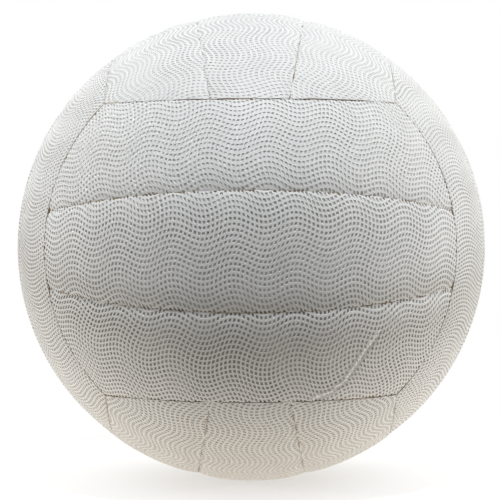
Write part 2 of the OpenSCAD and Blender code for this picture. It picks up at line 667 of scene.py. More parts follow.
@dataclass
class EmbossTree:
    """Lays a wavy sheet on the ball and gathers its lines into the pits of the grain."""

    ball: BallShape
    grain: Grain
    tree: GeometryTree = field(init=False)

    CELL_MIDDLE = (0.5, 0.5, 0.0)
    CELL_NUMBERS = (977.0, 1.0, 0.0)
    SAME = 0.1

    def __post_init__(self) -> None:
        """Builds the tree: a grid in cells, its pits, its two waves and its lie on the ball."""
        inputs = dict.fromkeys(("Columns", "Rows", "Seed"), int)
        inputs |= dict.fromkeys(("Centre", "Across", "Along"), Vector)
        inputs |= dict.fromkeys(("Row Phase", "Column Phase", "Pit Length", "Pit Width"), float)
        inputs |= dict.fromkeys(("Pit Floor", "Depth Spread", "Soil"), float)
        self.tree = GeometryTree("embossed_sheet", {**inputs, "Skin": Material})
        board, given, lines = self.tree.board, self.tree.given, float(self.grain.lines)
        values = {}
        for axis, cells in (("X", given["Columns"]), ("Y", given["Rows"])):
            values[f"Size {axis}"] = cells
            values[f"Vertices {axis}"] = board.math("MULTIPLY_ADD", cells, lines, 1.0)
        grid = board.add("GeometryNodeMeshGrid", values).outputs["Mesh"]
        half_line = 0.5 / lines
        place = board.add("GeometryNodeInputPosition")
        place = board.vector("ADD", place, (half_line, half_line, 0.0))
        middle = board.vector("FLOOR", board.vector("ADD", place, self.CELL_MIDDLE))
        off, pit = self._pits(middle, board.vector("SUBTRACT", place, middle))
        spot = board.vector("ADD", middle, off)
        # The third number of the cell carries the panel's share of painted shade in its pits.
        soil = board.add("ShaderNodeCombineXYZ", {"X": 0.5, "Y": 0.5, "Z": given["Soil"]})
        sheet = self.tree.store(grid, "cell", board.vector("ADD", spot, soil), "FLOAT_VECTOR")
        sheet = self.tree.store(sheet, "pit", pit, "FLOAT")
        lain = board.scaled(self._lie(board.split(spot)), self.ball.radius)
        sheet = board.add("GeometryNodeSetPosition", {"Geometry": sheet, "Position": lain})
        sheet = board.add("GeometryNodeFlipFaces", {"Mesh": sheet})
        self.tree.close(sheet, [(True, given["Skin"])])

    def _pits(self, middle: Socket, off: Socket) -> tuple[Socket, Socket]:
        """Gathers the lines of every cell into a pit with a flat floor, a steep wall and round corners.

        Args:
            middle: The number of the cell, along and across.
            off: The place in the even cell, counted from its middle.

        Returns:
            The new place in the cell, and how deep the sheet is pressed there, from 0 to about 1.
        """
        board, given, grain = self.tree.board, self.tree.given, self.grain
        high = board.split(board.vector("ABSOLUTE", off))
        rim = [board.math("GREATER_THAN", high[axis], 1 / grain.lines) for axis in ("X", "Y")]
        left = board.rest(given["Pit Floor"])
        shares = [board.math("MULTIPLY_ADD", one, left, given["Pit Floor"]) for one in rim]
        corner = board.math("COMPARE", rim[0], rim[1], self.SAME)
        tight = board.rest(board.product(left, grain.pit_corner, corner))
        halves = (
            board.product(given["Pit Length"], 0.5 / grain.pitch),
            board.product(given["Pit Width"], 0.5 / grain.row_pitch),
        )
        reach = {axis: board.product(shares[axis], halves[axis]) for axis in (0, 1)}
        reach = board.add("ShaderNodeCombineXYZ", reach)
        spot = board.vector("MULTIPLY", board.vector("SIGN", off), reach)
        floor = board.rest(board.math("MAXIMUM", *rim))
        number = board.measure("DOT_PRODUCT", middle, self.CELL_NUMBERS)
        low = board.rest(given["Depth Spread"])
        values = {"Min": low, "Max": 1.0, "ID": number, "Seed": given["Seed"]}
        chance = board.add("FunctionNodeRandomValue", values, data_type="FLOAT")
        return board.scaled(spot, tight), board.product(floor, board.socket(chance.outputs, "Value"))

    def _lie(self, cell: Sockets) -> Socket:
        """Lays the waved sheet on a ball of radius 1.

        Args:
            cell: The place in the grid, counted in cells.

        Returns:
            The direction from the ball's centre.
        """
        board, given, grain, radius = self.tree.board, self.tree.given, self.grain, self.ball.radius
        flat_y = board.product(cell["Y"], grain.row_pitch)
        turn = board.math("MULTIPLY_ADD", flat_y, math.tau / grain.column_wave_len, given["Column Phase"])
        sway = board.product(board.math("SINE", turn), grain.column_wave)
        x = board.math("MULTIPLY_ADD", cell["X"], grain.pitch, sway)
        turn = board.math("MULTIPLY_ADD", x, math.tau / grain.row_wave_len, given["Row Phase"])
        y = board.math("MULTIPLY_ADD", board.math("SINE", turn), grain.row_wave, flat_y)
        ray = given["Centre"]
        for direction, arc in (("Along", x), ("Across", y)):
            angle = board.math("DIVIDE", arc, radius)
            ahead = board.scaled(given[direction], board.math("SINE", angle))
            ray = board.vector("ADD", board.scaled(ray, board.math("COSINE", angle)), ahead)
        return ray


@dataclass
class SkiveTree:
    """Rolls the edges of a cut panel down to its seams, makes them uneven, and presses and dresses it."""

    ball: BallShape
    tree: GeometryTree = field(init=False)

    EDGES = (1, 2, 3)
    SEED_STEP = 0.37
    SWAY_SCALE = 45.0
    SWAY_DETAIL = 5.0
    SWAY_REACH = 3 * MM

    def __post_init__(self) -> None:
        """Builds the tree: distance to each edge, the sway of the edge and its drop."""
        inputs: dict[str, type] = {}
        for number in self.EDGES:
            inputs[f"Edge {number} Normal"] = Vector
            inputs |= {f"Edge {number} {size}": float for size in ("Distance", "Roll", "Closing")}
        inputs |= dict.fromkeys(("Roll Width", "Roll Drop", "Lip Width", "Lip Drop"), float)
        inputs |= {"Seam Sway": float, "Pit Depth": float, "Seed": int}
        self.tree = GeometryTree("skived_edges", {**inputs, "Skin": Material, "Backing": Material})
        board, given, ball = self.tree.board, self.tree.given, self.ball
        place = board.add("GeometryNodeInputPosition").outputs[0]
        ray = board.vector("NORMALIZE", place)
        shifted = self.tree.shifted(board.scaled(ray, ball.radius), self.SEED_STEP)
        uneven = board.math("SUBTRACT", board.noise(shifted, self.SWAY_SCALE, self.SWAY_DETAIL), 0.5)
        uneven = board.product(uneven, given["Seam Sway"])
        nearest: object = 1.0
        drop: object = 0.0
        sway: object = (0.0, 0.0, 0.0)
        for number in self.EDGES:
            normal = given[f"Edge {number} Normal"]
            rise = board.measure("DOT_PRODUCT", ray, normal)
            seam = board.math("DIVIDE", given[f"Edge {number} Distance"], ball.radius)
            angle = board.math("SUBTRACT", board.math("ARCCOSINE", rise), board.math("ARCCOSINE", seam))
            inside = board.product(angle, ball.radius)
            nearest = board.math("MINIMUM", nearest, inside)
            fall = board.math("ADD", self._fall(inside, "Roll"), self._fall(inside, "Lip"))
            drop = board.math("MAXIMUM", drop, board.product(fall, given[f"Edge {number} Roll"]))
            push = board.math("ADD", uneven, given[f"Edge {number} Closing"])
            push = board.math("MINIMUM", push, ball.seam_gap / 2)
            near = board.product(board.ramp(inside, 0.0, self.SWAY_REACH, 1.0, 0.0), push)
            level = board.vector("SUBTRACT", normal, board.scaled(ray, rise))
            sway = board.vector("ADD", sway, board.scaled(board.vector("NORMALIZE", level), near))
        share = board.ramp(board.measure("LENGTH", place), ball.inner_radius, ball.mid_radius)
        drop = board.math("MULTIPLY_ADD", self.tree.read("pit", "FLOAT"), given["Pit Depth"], drop)
        offset = board.vector("SUBTRACT", sway, board.scaled(ray, board.product(drop, share)))
        far = board.math("DIVIDE", nearest, MM)
        panel = self.tree.store(given["Geometry"], "edge", far, "FLOAT")
        panel = board.add("GeometryNodeSetPosition", {"Geometry": panel, "Offset": offset})
        skin = self.tree.read("skin", "BOOLEAN")
        panel = board.add("GeometryNodeSetShadeSmooth", {"Geometry": panel, "Shade Smooth": False})
        self.tree.close(panel, [(True, given["Backing"]), (skin, given["Skin"])])

    def _fall(self, inside: Socket, name: str) -> Socket:
        """Gives a rounded drop towards an edge.

        Args:
            inside: Distance from the edge.
            name: Roll or Lip, whose width and drop are taken.

        Returns:
            How far the skin drops.
        """
        board, given = self.tree.board, self.tree.given
        left = board.rest(board.math("DIVIDE", inside, given[f"{name} Width"], clamp=True))
        return board.product(left, left, given[f"{name} Drop"])


@dataclass(frozen=True)
class Fold:
    """A fold pressed into a panel's skin along a line in millimetres: a groove with a ridge beside."""

    line: tuple[tuple[float, float], ...]
    groove: float = 0.75 * MM
    ridge: float = 0.45 * MM
    width: float = 0.7 * MM
    apart: float = 1.5 * MM
    fade: float = 9 * MM

    def press(self, flat: np.ndarray) -> tuple[np.ndarray, np.ndarray]:
        """Gives what the fold does to the skin.

        Args:
            flat: Places on the flat sheet, one a row.

        Returns:
            How far the skin drops at each place, and how much of its grain is left.
        """
        line = np.array(self.line) * MM
        nearest = np.full(len(flat), np.inf)
        aside, share = np.zeros(len(flat)), np.zeros(len(flat))
        gone = 0.0
        for start, end in zip(line[:-1], line[1:]):
            step = end - start
            length = np.linalg.norm(step)
            ahead = np.clip((flat - start) @ step / length**2, 0.0, 1.0)
            off = flat - start - ahead[:, None] * step
            far = np.linalg.norm(off, axis=1)
            closer = far < nearest
            side = np.sign(step[0] * off[:, 1] - step[1] * off[:, 0])
            aside[closer] = (far * side)[closer]
            share[closer] = np.minimum((gone + ahead * length) / self.fade, 1.0)[closer]
            nearest[closer] = far[closer]
            gone += length
        groove = self.groove * np.exp(-((aside / self.width) ** 2))
        ridge = self.ridge * np.exp(-(((aside - self.apart) / self.width) ** 2))
        smooth = np.exp(-(((aside - self.apart / 2) / self.apart) ** 4))
        return (groove - ridge) * share, 1 - smooth * share


@dataclass
class CoverPanel:
    """One strip of the cover: grained skin on a skived backing."""

    node: str
    side: Side
    place: Place
    seed: int
    row_phase: float
    column_phase: float
    emboss: float
    soil: float
    ball: BallShape
    grain: Grain
    columns: int = 128
    middle_rows: int = 26
    side_rows: int = 34
    roll_width: float = 11 * MM
    roll_drop: float = 0.65 * MM
    corner_roll: float = 0.25
    lip_width: float = 3.2 * MM
    lip_drop: float = 0.32 * MM
    seam_closing: float = 0.4 * MM
    corner_closing: float = 0.12 * MM
    seam_sway: float = 1.4 * MM
    cap_step: float = 6 * MM
    cap_clear: float = 3 * MM
    hole_ring: float = 0.6 * MM
    hole_turns: int = 48
    hole_dip: float = 0.1 * MM
    hole_clear: float = 2 * MM
    fold: Fold | None = None

    CUT_TOLERANCE = 1e-7
    FILL_TOLERANCE = 1e-9
    BAKE_EDGE = 0.002
    BAKE_SPAN = 0.996
    SKIN_SPAN = 0.92
    WALL_ROW = 0.93
    WALL_PITCH = 0.018
    WALL_SPAN = 0.012
    CAP_ROW = 0.97
    CAP_SPAN = 0.028

    def __post_init__(self) -> None:
        """Sets the directions that the sheet lies along."""
        angle = self.ball.strip_angle(self.place)
        self.along = self.side.along
        self.centre = math.cos(angle) * self.side.out + math.sin(angle) * self.side.across
        self.across = math.cos(angle) * self.side.across - math.sin(angle) * self.side.out
        self.edges = self.ball.edges(self.side, self.place)

    @property
    def has_valve(self) -> bool:
        """Whether the valve comes out through this panel."""
        return self.side is Side.BACK and self.place is Place.MIDDLE

    def build(
        self, emboss: EmbossTree, skive: SkiveTree, skin: Material, backing: Material
    ) -> bpy.types.Object:
        """Makes the panel.

        Args:
            emboss: The tree that lays the sheet.
            skive: The tree that rolls the edges and presses the grain.
            skin: The material of the grained side.
            backing: The material of the cut edges and the underside.

        Returns:
            The panel's object.
        """
        grain = self.grain
        rows = self.middle_rows if self.place is Place.MIDDLE else self.side_rows
        values: dict[str, object] = {
            "Columns": self.columns, "Rows": rows, "Seed": self.seed, "Soil": self.soil, "Skin": skin,
            "Row Phase": self.row_phase, "Column Phase": self.column_phase,
            "Centre": self.centre, "Across": self.across, "Along": self.along,
            "Pit Length": grain.pit_length, "Pit Width": grain.pit_width,
            "Pit Floor": grain.pit_floor, "Depth Spread": grain.depth_spread,
        }
        sheet = emboss.tree.run(bpy.data.meshes.new("sheet"), values)
        self._cut(sheet)
        if self.fold:
            self._press(sheet, self.fold)
        values = {
            "Roll Width": self.roll_width, "Roll Drop": self.roll_drop,
            "Lip Width": self.lip_width, "Lip Drop": self.lip_drop,
            "Seam Sway": self.seam_sway, "Pit Depth": self.emboss * grain.pit_depth,
            "Seed": self.seed, "Skin": skin, "Backing": backing,
        }
        for number, edge in zip(skive.EDGES, self.edges):
            values[f"Edge {number} Normal"] = edge.normal
            values[f"Edge {number} Distance"] = edge.distance - self.ball.seam_gap / 2
            values[f"Edge {number} Roll"] = 1.0 if edge.in_face else self.corner_roll
            values[f"Edge {number} Closing"] = self.seam_closing if edge.tight else self.corner_closing
        mesh = skive.tree.run(sheet, values)
        name = self.node.replace("_panel", "_strip")
        mesh.name = name
        return new_object(name, mesh)

    def _press(self, sheet: Mesh, fold: Fold) -> None:
        """Presses a fold into the skin of the cut panel and smooths the grain along it.

        Args:
            sheet: The panel.
            fold: The fold.
        """
        total = len(sheet.vertices)
        places, cells, pits = np.empty(3 * total), np.empty(3 * total), np.empty(total)
        sheet.vertices.foreach_get("co", places)
        sheet.attributes["cell"].data.foreach_get("vector", cells)
        sheet.attributes["pit"].data.foreach_get("value", pits)
        places = places.reshape(-1, 3)
        length = np.linalg.norm(places, axis=1)
        drop, left = fold.press(self._flat(places))
        places *= (1 - np.where(length > self.ball.mid_radius, drop, 0.0) / length)[:, None]
        # The painted shade in the pits fades where the fold smooths the grain.
        cells[2::3] *= left
        sheet.vertices.foreach_set("co", places.ravel())
        sheet.attributes["cell"].data.foreach_set("vector", cells)
        sheet.attributes["pit"].data.foreach_set("value", pits * left)

    def _flat(self, places: np.ndarray) -> np.ndarray:
        """Gives the places of points on the flat sheet.

        Args:
            places: Points of the panel, one a row.

        Returns:
            Their places along and across the sheet.
        """
        rays = places / np.linalg.norm(places, axis=1, keepdims=True)
        along, across, centre = (rays @ np.array(one) for one in (self.along, self.across, self.centre))
        flat = np.stack([np.arctan2(along, centre), np.arcsin(np.clip(across, -1, 1))], axis=1)
        return flat * self.ball.radius

    def _cut(self, sheet: Mesh) -> None:
        """Cuts the panel out of its sheet and closes it with cut edges and an underside.

        Args:
            sheet: The embossed sheet, which becomes the panel.
        """
        bm = bmesh.new()
        bm.from_mesh(sheet)
        for edge in self.edges:
            bmesh.ops.bisect_plane(
                bm,
                geom=bm.verts[:] + bm.edges[:] + bm.faces[:],
                dist=self.CUT_TOLERANCE,
                plane_co=edge.normal * (edge.distance - self.ball.seam_gap / 2),
                plane_no=edge.normal,
                clear_outer=True,
            )
        if self.has_valve:
            self._open_valve_hole(bm)
        marks = bm.faces.layers.int.new("part"), bm.faces.layers.float.new("around")
        feet = [self._wall(bm, rim, number, marks) for number, rim in enumerate(self._rims(bm))]
        self._underside(bm, feet, marks[0])
        bm.to_mesh(sheet)
        bm.free()
        self._mark(sheet)

    def _open_valve_hole(self, bm: BMesh) -> None:
        """Opens the round hole that the valve's neck comes out of, with a plain ring of skin round it.

        Args:
            bm: The cut panel.
        """
        radius, turns = self.ball.valve_hole_r, self.hole_turns
        near = radius + self.hole_ring
        close = {vert for vert in bm.verts if math.hypot(vert.co.x, vert.co.z) < near}
        gone = [face for face in bm.faces if any(vert in close for vert in face.verts)]
        bmesh.ops.delete(bm, geom=gone, context="FACES")
        outer = self._rims(bm)[1]
        height = math.sqrt(self.ball.radius**2 - radius**2) - self.hole_dip
        angles = [math.tau * turn / turns for turn in range(turns)]
        inner = [bm.verts.new((radius * math.cos(one), height, radius * math.sin(one))) for one in angles]
        verts = outer + inner
        points = [Vector((vert.co.x, vert.co.z)) for vert in verts]
        links = ring_links(len(outer)) + ring_links(turns, len(outer))
        for trio in triangles(verts, points, links, self.FILL_TOLERANCE):
            middle = sum((vert.co for vert in trio), Vector()) / 3
            if math.hypot(middle.x, middle.z) > radius * math.cos(math.pi / turns):
                face = bm.faces.new(trio)
                face.normal_update()
                if face.normal.y < 0:
                    face.normal_flip()

    @staticmethod
    def _rims(bm: BMesh) -> list[Ring]:
        """Walks round the open edges of the panel.

        Args:
            bm: The cut panel.

        Returns:
            The corners of each rim in order, the longest rim first.
        """
        after = {}
        for edge in bm.edges:
            if edge.is_boundary:
                loop = edge.link_loops[0]
                after[loop.link_loop_next.vert] = loop.vert
        rims = []
        while after:
            start, vert = after.popitem()
            rim = [start]
            while vert is not start:
                rim.append(vert)
                vert = after.pop(vert)
            rims.append(rim)
        return sorted(rims, key=len, reverse=True)

    def _wall(self, bm: BMesh, rim: Ring, number: int, marks: tuple) -> Ring:
        """Closes a rim down to the underside with one face a corner.

        Args:
            bm: The panel.
            rim: The rim's corners in order.
            number: The rim's number.
            marks: The layers for a face's part of the panel and its place round the rim.

        Returns:
            The feet of the wall in order.
        """
        part, around = marks
        feet = [bm.verts.new(vert.co.normalized() * self.ball.inner_radius) for vert in rim]
        for spot, after in ring_links(len(rim)):
            face = bm.faces.new((rim[spot], rim[after], feet[after], feet[spot]))
            bm.edges.get((rim[spot], rim[after])).smooth = False
            face[part] = PanelPart.WALL.value + number
            face[around] = spot / len(rim)
        return feet

    def _underside(self, bm: BMesh, rims: list[Ring], part: bmesh.types.BMLayerItem) -> None:
        """Fills the underside with broad triangles on the inner radius.

        Args:
            bm: The panel.
            rims: The feet of its walls in order.
            part: The layer for a face's part of the panel.
        """
        feet = [vert for rim in rims for vert in rim]
        flat = self._flat(np.array([vert.co for vert in feet]))
        low, high = flat.min(axis=0), flat.max(axis=0)
        steps = [np.arange(low[axis], high[axis], self.cap_step) for axis in (0, 1)]
        spread = np.stack(np.meshgrid(*steps), axis=-1).reshape(-1, 2)
        angles = spread / self.ball.radius
        rays = np.cos(angles[:, 1:]) * (
            np.cos(angles[:, :1]) * np.array(self.centre) + np.sin(angles[:, :1]) * np.array(self.along)
        ) + np.sin(angles[:, 1:]) * np.array(self.across)
        places = rays * self.ball.inner_radius
        clear = np.ones(len(places), bool)
        for edge in self.edges:
            clear &= places @ np.array(edge.normal) < edge.distance - self.cap_clear
        if self.has_valve:
            clear &= np.hypot(places[:, 0], places[:, 2]) > self.ball.valve_hole_r + self.hole_clear
        links: Links = []
        for rim in rims:
            links += ring_links(len(rim), len(links))
        points = [Vector(one) for one in flat] + [Vector(one) for one in spread[clear]]
        verts = feet + [bm.verts.new(one) for one in places[clear]]
        for trio in triangles(verts, points, links, self.FILL_TOLERANCE):
            middle = sum((vert.co for vert in trio), Vector()) / 3
            in_hole = math.hypot(middle.x, middle.z) < self.ball.valve_hole_r and middle.y > 0
            if self.has_valve and in_hole:
                continue
            face = bm.faces.new(trio)
            face[part] = PanelPart.UNDERSIDE.value
            face.normal_update()
            if face.normal.dot(middle) > 0:
                face.normal_flip()

    def _mark(self, sheet: Mesh) -> None:
        """Marks the grained faces and lays the panel out flat for baking.

        Args:
            sheet: The closed panel.
        """
        total = len(sheet.polygons)
        part, starts = np.empty(total, np.int32), np.empty(total, np.int32)
        around = np.empty(total, np.float32)
        sheet.attributes["part"].data.foreach_get("value", part)
        sheet.attributes["around"].data.foreach_get("value", around)
        sheet.polygons.foreach_get("loop_start", starts)
        skin = part == PanelPart.SKIN.value
        sheet.attributes.new("skin", "BOOLEAN", "FACE").data.foreach_set("value", skin)
        places = np.empty(3 * len(sheet.vertices), np.float32)
        sheet.vertices.foreach_get("co", places)
        flat = self._flat(places.reshape(-1, 3).astype(float))
        low, high = flat.min(axis=0), flat.max(axis=0)
        corners = np.empty(len(sheet.loops), np.int32)
        sheet.loops.foreach_get("vertex_index", corners)
        share = ((flat - low) / (high - low))[corners]
        layout = share * (self.BAKE_SPAN, self.SKIN_SPAN) + self.BAKE_EDGE
        for face in np.flatnonzero(part == PanelPart.UNDERSIDE.value):
            trio = slice(starts[face], starts[face] + 3)
            layout[trio, 1] = self.CAP_ROW + self.CAP_SPAN * share[trio, 1]
        for number in range(part.max() - PanelPart.WALL.value + 1):
            wall = np.flatnonzero(part == PanelPart.WALL.value + number)
            row = self.WALL_ROW + self.WALL_PITCH * number
            for corner, (ahead, up) in enumerate(((0, 1), (1, 1), (1, 0), (0, 0))):
                turn = around[wall] + ahead / len(wall)
                layout[starts[wall] + corner, 0] = self.BAKE_EDGE + self.BAKE_SPAN * turn
                layout[starts[wall] + corner, 1] = row + self.WALL_SPAN * up
        layer = sheet.uv_layers.new(name=BAKE_MAP)
        layer.data.foreach_set("uv", layout.astype(np.float32).ravel())


@dataclass
class Cover:
    """The eighteen panels of the ball, each with its own depth of grain and share of painted shade in its
    pits.
    """

    ball: BallShape
    grain: Grain

    FALLING = (Place.PLUS, Place.MIDDLE, Place.MINUS)
    RISING = (Place.MINUS, Place.MIDDLE, Place.PLUS)
    STRIPS = (
        (Side.FRONT, FALLING, ("upper", "middle", "lower")),
        (Side.BACK, FALLING, ("upper", "middle", "lower")),
        (Side.LEFT, FALLING, ("front", "middle", "rear")),
        (Side.RIGHT, RISING, ("front", "middle", "rear")),
        (Side.TOP, RISING, ("left", "middle", "right")),
        (Side.BOTTOM, FALLING, ("left", "middle", "right")),
    )
    SEEN_PHASES = {
        "front_upper_panel": (-2.81, 2.62),
        "front_middle_panel": (-0.04, 3.14),
        "front_lower_panel": (-0.12, 2.09),
        "top_middle_panel": (2.0, -0.72),
    }
    PHASE_STEPS = (2.4, 1.7)
    # Each panel's depth of grain and share of painted shade in its pits, light on the top panels and
    # heavy low on the front.
    PRESS_AND_SHADE = {
        "front_upper_panel": (1.3, 0.13),
        "front_middle_panel": (1.25, 0.45),
        "front_lower_panel": (1.3, 0.7),
        "top_left_panel": (0.75, 0.06),
        "top_middle_panel": (0.8, 0.06),
        "top_right_panel": (0.75, 0.06),
    }
    PLAIN_PRESS_AND_SHADE = (1.15, 0.3)
    FOLDS = {
        "front_lower_panel": Fold(
            (
                (-56.1, 7.5), (-52.7, 3.1), (-47.8, -2.0), (-44.0, -7.6),
                (-39.6, -14.4), (-33.8, -18.8), (-27.1, -20.7),
            )
        ),
    }

    def build(self) -> list[bpy.types.Object]:
        """Makes the panels, ties each to the ball's body and hides its CAD node.

        Returns:
            The panels.
        """
        skin, backing = SKIN.material(), BACKING.material()
        emboss, skive = EmbossTree(self.ball, self.grain), SkiveTree(self.ball)
        strips = [
            (f"{side.name.lower()}_{word}_panel", side, place)
            for side, places, words in self.STRIPS
            for place, word in zip(places, words)
        ]
        made = []
        for seed, (node, side, place) in enumerate(strips):
            phases = self.SEEN_PHASES.get(node, [step * seed % math.tau for step in self.PHASE_STEPS])
            press_and_shade = self.PRESS_AND_SHADE.get(node, self.PLAIN_PRESS_AND_SHADE)
            fold = self.FOLDS.get(node)
            panel = CoverPanel(node, side, place, seed, *phases, *press_and_shade, self.ball, self.grain, fold=fold)
            piece = panel.build(emboss, skive, skin, backing)
            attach(piece, Body.BALL.value)
            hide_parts(node)
            made.append(piece)
        return made


@dataclass
class SeamCement:
    """The brown cement that stands in the seams between the panels."""

    ball: BallShape
    bead_r: float = 0.45 * MM
    bead_sides: int = 6
    depth: float = 1.5 * MM
    wander: float = 0.35 * MM
    step: float = 0.8 * MM
    seed: int = 3

    SEED_STEP = 0.41
    LUMP_SCALE = 260.0
    LUMP_DETAIL = 3.0
    LUMP_GAIN = 4.0

    def build(self) -> list[bpy.types.Object]:
        """Runs a bead along every seam.

        Returns:
            The beads as one piece.
        """
        inputs = {"Bead Radius": float, "Wander": float, "Seed": int, "Cement": Material}
        tree = GeometryTree("cement_bead", inputs)
        board, given = tree.board, tree.given
        path = board.add("GeometryNodeMeshToCurve", {"Mesh": given["Geometry"]})
        values = {"Resolution": self.bead_sides, "Radius": given["Bead Radius"]}
        ring = board.add("GeometryNodeCurvePrimitiveCircle", values).outputs["Curve"]
        values = {"Curve": path, "Profile Curve": ring, "Fill Caps": True}
        bead = board.add("GeometryNodeCurveToMesh", values)
        place = board.add("GeometryNodeInputPosition").outputs[0]
        lump = board.noise(tree.shifted(place, self.SEED_STEP), self.LUMP_SCALE, self.LUMP_DETAIL)
        lift = board.product(board.math("SUBTRACT", lump, 0.5), given["Wander"], self.LUMP_GAIN)
        offset = board.scaled(board.vector("NORMALIZE", place), lift)
        bead = board.add("GeometryNodeSetPosition", {"Geometry": bead, "Offset": offset})
        bead = board.add("GeometryNodeSetShadeSmooth", {"Geometry": bead})
        tree.close(bead, [(True, given["Cement"])])
        values = {"Bead Radius": self.bead_r, "Wander": self.wander, "Seed": self.seed}
        mesh = tree.run(self._paths(), {**values, "Cement": CEMENT.material()})
        piece = new_object("seam_cement", mesh)
        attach(piece, Body.BALL.value)
        return [piece]

    def _paths(self) -> Mesh:
        """Draws the middle lines of all seams.

        Returns:
            A mesh of edges.
        """
        radius = self.ball.radius - self.depth
        half = self.ball.face_half * radius / self.ball.radius
        verts: list[Vector] = []
        links: Links = []
        for side in Side:
            lines = [self._strip_line(side, place, radius) for place in (1, -1)]
            for across in (side.across, -side.across):
                lines.append(self._arc(across, half, side.out, side.along, radius, math.pi / 4))
            for line in lines:
                first = len(verts)
                verts += line
                links += [(first + spot, first + spot + 1) for spot in range(len(line) - 1)]
        mesh = bpy.data.meshes.new("seam_lines")
        mesh.from_pydata(verts, links, [])
        return mesh

    def _strip_line(self, side: Side, place: int, radius: float) -> list[Vector]:
        """Draws the seam on one side of a face's middle strip.

        Args:
            side: The face.
            place: 1 or -1, the one or the other side of the strip.
            radius: Radius of the ball that the line lies on.

        Returns:
            The line's points.
        """
        edge = self.ball.strip_edge(side, place)
        scale = radius / self.ball.radius
        reach = edge.distance * scale
        tilt = edge.normal.dot(side.out)
        start = (side.out - edge.normal * tilt).normalized()
        ring = math.sqrt(radius**2 - reach**2)
        low = (self.ball.face_half * scale - reach * tilt) / (ring * start.dot(side.out))
        return self._arc(edge.normal, reach, start, side.along, radius, math.acos(low))

    def _arc(
        self, normal: Vector, reach: float, start: Vector, along: Vector, radius: float, half_angle: float
    ) -> list[Vector]:
        """Draws an arc on the ball.

        Args:
            normal: Normal of the arc's plane.
            reach: Distance of that plane from the centre.
            start: Direction of the arc's middle, in the plane.
            along: Direction in which the arc runs.
            radius: Radius of the ball it lies on.
            half_angle: Half of the angle that it spans.

        Returns:
            Its points.
        """
        ring = math.sqrt(radius**2 - reach**2)
        count = max(2, round(2 * half_angle * ring / self.step))
        turns = [half_angle * (2 * spot / count - 1) for spot in range(count + 1)]
        rays = [start * math.cos(turn) + along * math.sin(turn) for turn in turns]
        return [normal * reach + ray * ring for ray in rays]


@dataclass
class Lathe:
    """Turns a rounded outline about the valve's axis into a mesh."""

    steps: int = 64
    arc_steps: int = 4

    def outline(self, corners: list[tuple[float, float, float]]) -> list[tuple[float, float]]:
        """Rounds the corners of an outline.

        Args:
            corners: Each corner's radius from the axis, height along it and rounding, in millimetres.

        Returns:
            The rounded outline's points.
        """
        spots = [Vector((one[0], one[1])) for one in corners]
        points: list[tuple[float, float]] = []
        for number, (spot, corner) in enumerate(zip(spots, corners)):
            if corner[2] == 0 or number in (0, len(corners) - 1):
                points.append((spot.x, spot.y))
                continue
            back = (spots[number - 1] - spot).normalized() * corner[2]
            ahead = (spots[number + 1] - spot).normalized() * corner[2]
            for step in range(self.arc_steps + 1):
                share = step / self.arc_steps
                place = spot + back * (1 - share) ** 2 + ahead * share**2
                points.append((place.x, place.y))
        return points

    def turn(self, bm: BMesh, points: list[tuple[float, float]], closed: bool) -> list[Ring]:
        """Turns an outline about the +Y axis.

        Args:
            bm: The mesh that the faces go into.
            points: The outline, as radius and height in millimetres.
            closed: Whether the outline's end joins its start.

        Returns:
            The ring of corners at each point of the outline.
        """
        turns = [math.tau * step / self.steps for step in range(self.steps)]
        rings = []
        for radius, height in points:
            flat = [(radius * MM * math.cos(turn), radius * MM * math.sin(turn)) for turn in turns]
            rings.append([bm.verts.new((x, height * MM, z)) for x, z in flat])
        pairs = list(zip(rings, rings[1:])) + ([(rings[-1], rings[0])] if closed else [])
        for first, second in pairs:
            for step, after in ring_links(self.steps):
                bm.faces.new((first[step], first[after], second[after], second[step]))
        return rings


